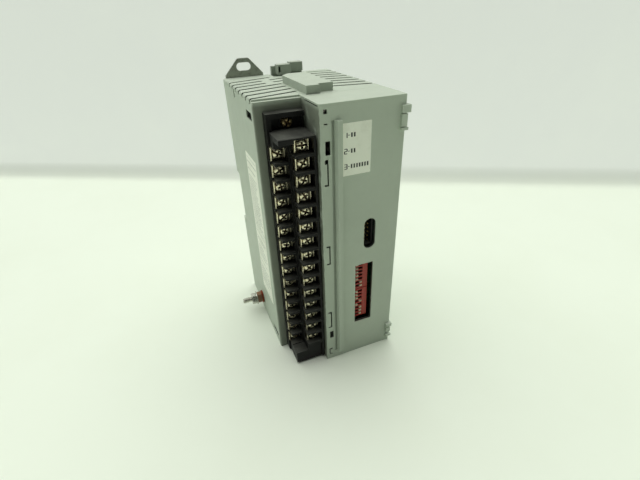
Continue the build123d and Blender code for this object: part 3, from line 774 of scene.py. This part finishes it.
class PLC_OT_labels(bpy.types.Operator):
    """Finish both labels and print plain numbers and bars on them."""

    bl_idname = "plc.labels"
    bl_label = "Labels"

    def execute(self, context):
        stock = label_stock("Label stock", context.scene.plc_finish.label_colour)
        dress(["front_label", "side_label"], stock)
        print_finish = {"roughness": 0.55, "wear": 0.0, "dust": 0.1, "depth": 0.000002}
        ink = moulded("Label ink", (0.045, 0.050, 0.045), spread=0.6, **print_finish)
        grey = moulded("Label print grey", (0.50, 0.54, 0.48), spread=0.5, **print_finish)
        self.front(ink)
        self.side(grey)
        return {"FINISHED"}

    def front(self, ink):
        """Digits 1 to 3 from seven strokes each, then a dash and a row of plain bars."""
        low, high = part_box("front_label")
        wide, tall, pen, film = 0.0013, 0.0023, 0.00036, 0.00002
        margin, dash_at, dash_length = 0.0020, 0.0016, 0.0008
        bars_at, bar_step, bar_width = 0.0031, 0.00145, 0.00085
        strokes = {
            "a": (0, tall / 2, wide, pen), "g": (0, 0, wide, pen), "d": (0, -tall / 2, wide, pen),
            "b": (wide / 2, tall / 4, pen, tall / 2), "c": (wide / 2, -tall / 4, pen, tall / 2),
            "e": (-wide / 2, -tall / 4, pen, tall / 2),
        }
        rows = (("bc", 2, high.z - 0.0056), ("abged", 2, high.z - 0.0132), ("abgcd", 7, high.z - 0.0208))
        centres, sizes = [], []
        y = low.y - film / 2.0
        for digit, bars, z in rows:
            x = low.x + margin
            for key in digit:
                dx, dz, w, h = strokes[key]
                centres.append((x + dx, y, z + dz))
                sizes.append((w + pen * 0.5, film, h))
            centres.append((x + dash_at, y, z))
            sizes.append((dash_length, film, pen))
            for index in range(bars):
                centres.append((x + bars_at + index * bar_step, y, z))
                sizes.append((bar_width, film, tall * 0.9))
        points, faces = slabs(centres, sizes)
        return build("Front_marks", points, faces, ink)

    def side(self, grey):
        """Lines of unreadable bars, broken into word lengths, with three ruled lines."""
        low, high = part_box("side_label")
        rng = np.random.default_rng(RNG_SEED + 5)
        film, margin, end_margin = 0.00002, 0.0022, 0.005
        letter_height, word_gap, line_step, paragraph_step = 0.00075, 0.0006, 0.0019, 0.0042
        rule_width, rule_inset = 0.0003, 0.003
        centres, sizes = [], []
        x = low.x - film / 2.0
        line = high.z - end_margin
        while line > low.z + end_margin:
            y = high.y - margin
            end = low.y + rng.uniform(0.002, 0.009)
            while y > end:
                word = rng.uniform(0.0008, 0.0034)
                centres.append((x, y - word / 2, line))
                sizes.append((film, word, letter_height))
                y -= word + word_gap
            line -= line_step if rng.random() > 0.16 else paragraph_step
        for level in (high.z - margin, (low.z + high.z) / 2, low.z + margin):
            centres.append((x, (low.y + high.y) / 2, level))
            sizes.append((film, high.y - low.y - rule_inset, rule_width))
        points, faces = slabs(centres, sizes)
        return build("Side_marks", points, faces, grey)


class PLC_OT_back_hardware(bpy.types.Operator):
    """Finish the metal tabs and their screws."""

    bl_idname = "plc.back_hardware"
    bl_label = "Back hardware"

    def execute(self, context):
        steel = plated("Tab steel", (0.36, 0.38, 0.33), 0.42, tarnish=(0.10, 0.09, 0.07), stain=0.35)
        dress(["upper_tab", "lower_tab"], steel)
        soften(["upper_tab", "lower_tab"], 0.00015)
        dress(["tab_screws"], plated("Tab screw zinc", (0.50, 0.50, 0.47), 0.30))
        return {"FINISHED"}


class PLC_OT_ground_stud(bpy.types.Operator):
    """Make the threaded ground stud, its nuts, washer and spacer."""

    bl_idname = "plc.ground_stud"
    bl_label = "Ground stud"

    def execute(self, context):
        zinc = plated("Stud zinc", (0.66, 0.66, 0.60), 0.22, stain=0.3)
        copper = plated("Spacer copper", (0.30, 0.085, 0.045), 0.42, tarnish=(0.05, 0.02, 0.015), stain=0.6)
        low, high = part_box("ground_washer")
        self.centre = ((low.y + high.y) / 2, (low.z + high.z) / 2)
        self.stud(context.scene.plc_hardware.thread_pitch, zinc)
        brown = plated("Inner nut", (0.34, 0.20, 0.13), 0.36, tarnish=(0.06, 0.03, 0.02), stain=0.5)
        self.nut("ground_nut_inner", brown)
        self.nut("ground_nut_outer", zinc)
        self.ring("ground_washer", zinc, "zinc_steel")
        self.ring("ground_spacer", copper, "copper_washer")
        return {"FINISHED"}

    def put(self, name, points, faces, material, slot_name, node_name, angle=35.0):
        """Move a grid about the X axis to the stud's axis and make the piece."""
        points = points + np.array([0.0, self.centre[0], self.centre[1]])
        thing = build(name, points, faces, material, angle)
        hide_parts(node_name)
        return thing

    def stud(self, pitch, material):
        """Thread of radius R - d t(x / p - a / 2 pi), with t a triangle wave, tapered at the tip.

        A hexagonal head ends it.
        """
        low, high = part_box("ground_stud")
        around, steps, radius, depth = 40, 7.0, 0.0020, 0.00036
        head_height, head_flat, tip_length, tip_drop = 0.0026, 0.0031, 0.0006, 0.0005
        end = high.x - head_height
        x = np.concatenate([[low.x], np.arange(low.x, end, pitch / steps), [end]])
        angle = np.linspace(0.0, 2.0 * math.pi, around, endpoint=False)
        phase = np.mod(x[:, None] / pitch - angle[None, :] / (2.0 * math.pi), 1.0)
        wave = 1.0 - np.abs(phase * 2.0 - 1.0)
        taper = np.clip((x - low.x) / tip_length, 0.0, 1.0)[:, None]
        r = (radius - tip_drop * (1.0 - taper)) - depth * wave * taper
        r[0] = 0.0
        hexagon = head_flat / np.cos(np.mod(angle, math.pi / 3.0) - math.pi / 6.0)
        x = np.concatenate([x, [end, high.x, high.x]])
        r = np.concatenate([r, np.stack([hexagon, hexagon, hexagon * 0.0])])
        points = np.stack(
            [np.repeat(x[:, None], around, axis=1), r * np.cos(angle), r * np.sin(angle)], -1,
        )
        faces = grid_faces(len(x), around)
        return self.put("Stud", points, faces, material, "zinc_steel", "ground_stud", 50.0)

    def nut(self, node_name, material):
        """Hexagon nut: the outline is the lower of the hexagon and a cone at each end; the bore is round."""
        low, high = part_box(node_name)
        around, flat, corner, bore = 96, 0.00352, 0.00408, 0.00205
        cut, lead_in = 0.00042, 0.0003
        end_radius, past_corner, middle = flat * 0.97, corner * 1.02, (flat + corner) / 2
        profile = [
            (low.x, bore + lead_in), (low.x, end_radius), (low.x + cut * 0.5, middle),
            (low.x + cut, corner), (low.x + cut * 1.6, past_corner), (high.x - cut * 1.6, past_corner),
            (high.x - cut, corner), (high.x - cut * 0.5, middle), (high.x, end_radius),
            (high.x, bore + lead_in), (high.x - lead_in, bore), (low.x + lead_in, bore),
        ]
        points = turned(profile, around, flat)
        name = "Nut_" + node_name.split("_")[-1]
        faces = grid_faces(len(profile), around, True)
        return self.put(name, points, faces, material, "zinc_steel", node_name, 25.0)

    def ring(self, node_name, material, slot_name):
        """Flat ring with rounded rims, turned from a closed profile."""
        low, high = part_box(node_name)
        around, outer, bore = 72, (high.z - low.z) / 2, 0.00205
        soft = (high.x - low.x) * 0.3
        part = soft * 0.3
        profile = [
            (low.x, bore), (low.x, outer - soft), (low.x + part, outer - part), (low.x + soft, outer),
            (high.x - soft, outer), (high.x - part, outer - part), (high.x, outer - soft), (high.x, bore),
        ]
        points = turned(profile, around)
        name = "Ring_" + node_name.split("_")[-1]
        faces = grid_faces(len(profile), around, True)
        return self.put(name, points, faces, material, slot_name, node_name, 40.0)


class PLC_OT_stage(bpy.types.Operator):
    """Pale sheet of floor and backdrop, soft lights and the camera."""

    bl_idname = "plc.stage"
    bl_label = "Stage"

    def execute(self, context):
        settings = context.scene.plc_stage
        self.sheet(settings)
        self.lights(context, settings)
        self.camera(context, settings)
        return {"FINISHED"}

    def sheet(self, settings):
        """Sweep: flat, then a quarter circle, then upright, carried along the joint with the wall."""
        left, right = Vector(WALL_JOINT_LEFT), Vector(WALL_JOINT_RIGHT)
        reach, near_reach, mid_reach, mid_height, bend, below = 3.0, 1.0, 0.4, 0.6, 0.02, 0.00005
        along = (right - left).normalized()
        away = Vector((-along.y, along.x))
        if away.y < 0:
            away = -away
        turn = np.linspace(0.0, math.pi / 2.0, 9)
        out = np.concatenate([[-reach, -near_reach, -mid_reach], bend * np.sin(turn) - bend, [0.0, 0.0]])
        up = np.concatenate([[0.0, 0.0, 0.0], bend - bend * np.cos(turn), [mid_height, reach]])
        span = np.linspace(-reach, reach, 13)
        middle = (left + right) / 2
        x = middle.x + span[None, :] * along.x + (out[:, None] + bend) * away.x
        y = middle.y + span[None, :] * along.y + (out[:, None] + bend) * away.y
        z = np.repeat(up[:, None], len(span), axis=1)
        points = np.stack([x, y, z - below], -1).reshape(-1, 3)
        rows, columns = len(out), len(span)
        row = np.arange(rows - 1)[:, None]
        column = np.arange(columns - 1)[None, :]
        first = row * columns + column
        faces = np.stack([first, first + 1, first + columns + 1, first + columns], -1).reshape(-1, 4)
        data = bpy.data.meshes.new("Sheet")
        data.from_pydata(points.tolist(), [], faces.tolist())
        data.polygons.foreach_set("use_smooth", [True] * len(data.polygons))
        thing = bpy.data.objects.new("Sheet", data)
        bpy.context.scene.collection.objects.link(thing)
        made, tree, shader, where = start_material("Stage sheet")
        height = node(tree, "ShaderNodeSeparateXYZ", {0: where}).outputs["Z"]
        upright = ramp(tree, height, 0.0, bend)
        half_wall = rgba([channel * 0.5 for channel in settings.wall_colour])
        mixed = blend_colour(tree, upright, rgba(settings.floor_colour), half_wall)
        smudge = ramp(tree, noise(tree, where, 9.0, 4.0, 0.6), 0.45, 0.75, 0.0, 0.10)
        final = blend_colour(tree, smudge, mixed, (0.62, 0.66, 0.50, 1.0))
        tree.links.new(final, shader.inputs["Base Color"])
        shader.inputs["Emission Color"].default_value = rgba(settings.wall_colour)
        tree.links.new(calc(tree, "MULTIPLY", upright, 0.70), shader.inputs["Emission Strength"])
        shader.inputs["Roughness"].default_value = 0.6
        data.materials.append(made)
        thing.visible_shadow = False

    def lights(self, context, settings):
        """One broad light from above, left and behind, and an even pale surround."""
        world = bpy.data.worlds.new("Pale room")
        world.use_nodes = True
        world.node_tree.nodes.clear()
        sky = node(
            world.node_tree, "ShaderNodeBackground",
            {"Color": (0.96, 1.0, 0.95, 1.0), "Strength": settings.sky},
        )
        out = world.node_tree.nodes.new("ShaderNodeOutputWorld")
        world.node_tree.links.new(sky.outputs[0], out.inputs[0])
        context.scene.world = world
        data = bpy.data.lights.new("Key", "SUN")
        data.energy = settings.key_light
        data.angle = settings.key_spread
        data.color = (1.0, 1.0, 0.955)
        lamp = bpy.data.objects.new("Key", data)
        lamp.rotation_mode = "QUATERNION"
        lamp.rotation_quaternion = Vector(KEY_DIRECTION).to_track_quat("-Z", "Y")
        context.scene.collection.objects.link(lamp)
        context.scene.view_settings.view_transform = "Standard"

    def camera(self, context, settings):
        """Camera turned by yaw, tipped by pitch and rolled a little about its own axis."""
        yaw, pitch, roll = (math.radians(value) for value in (CAMERA_YAW, CAMERA_PITCH, CAMERA_ROLL))
        look = Vector((math.sin(yaw) * math.cos(pitch), math.cos(yaw) * math.cos(pitch), -math.sin(pitch)))
        level = Vector((math.cos(yaw), -math.sin(yaw), 0.0))
        rise = level.cross(look)
        right = level * math.cos(roll) + rise * math.sin(roll)
        up = -level * math.sin(roll) + rise * math.cos(roll)
        data = bpy.data.cameras.new("Camera")
        data.sensor_width = 36.0
        data.lens = settings.lens
        data.clip_start = 0.01
        data.clip_end = 20.0
        thing = bpy.data.objects.new("Camera", data)
        turn = Matrix((right, up, -look)).transposed().to_4x4()
        thing.matrix_world = Matrix.Translation(CAMERA_PLACE) @ turn
        context.scene.collection.objects.link(thing)
        context.scene.camera = thing


class PLC_PT_panel(bpy.types.Panel):
    """Buttons for each group of pieces."""

    bl_idname = "PLC_PT_panel"
    bl_label = "PLC Module"
    bl_space_type = "VIEW_3D"
    bl_region_type = "UI"
    bl_category = "PLC Module"

    def draw(self, context):
        for group in (context.scene.plc_finish, context.scene.plc_hardware, context.scene.plc_stage):
            box = self.layout.box()
            for key in group.bl_rna.properties.keys():
                if key not in ("rna_type", "name"):
                    box.prop(group, key)
        for operator in OPERATORS:
            self.layout.operator(operator.bl_idname)


SETTINGS = (PlcFinishSettings, PlcHardwareSettings, PlcStageSettings)
OPERATORS = (
    PLC_OT_case, PLC_OT_terminal_strip, PLC_OT_terminal_screws, PLC_OT_switches, PLC_OT_inside,
    PLC_OT_labels, PLC_OT_back_hardware, PLC_OT_ground_stud, PLC_OT_stage,
)


def register():
    """Register the settings, the operators and the panel."""
    for cls in SETTINGS + OPERATORS + (PLC_PT_panel,):
        bpy.utils.register_class(cls)
    bpy.types.Scene.plc_finish = bpy.props.PointerProperty(type=PlcFinishSettings)
    bpy.types.Scene.plc_hardware = bpy.props.PointerProperty(type=PlcHardwareSettings)
    bpy.types.Scene.plc_stage = bpy.props.PointerProperty(type=PlcStageSettings)


def unregister():
    """Take everything out again."""
    for key in ("plc_finish", "plc_hardware", "plc_stage"):
        delattr(bpy.types.Scene, key)
    for cls in reversed(SETTINGS + OPERATORS + (PLC_PT_panel,)):
        bpy.utils.unregister_class(cls)


def main():
    """Run every operator in order."""
    register()
    for operator in OPERATORS:
        group, name = operator.bl_idname.split(".")
        getattr(getattr(bpy.ops, group), name)()


if __name__ == "__main__":
    main()
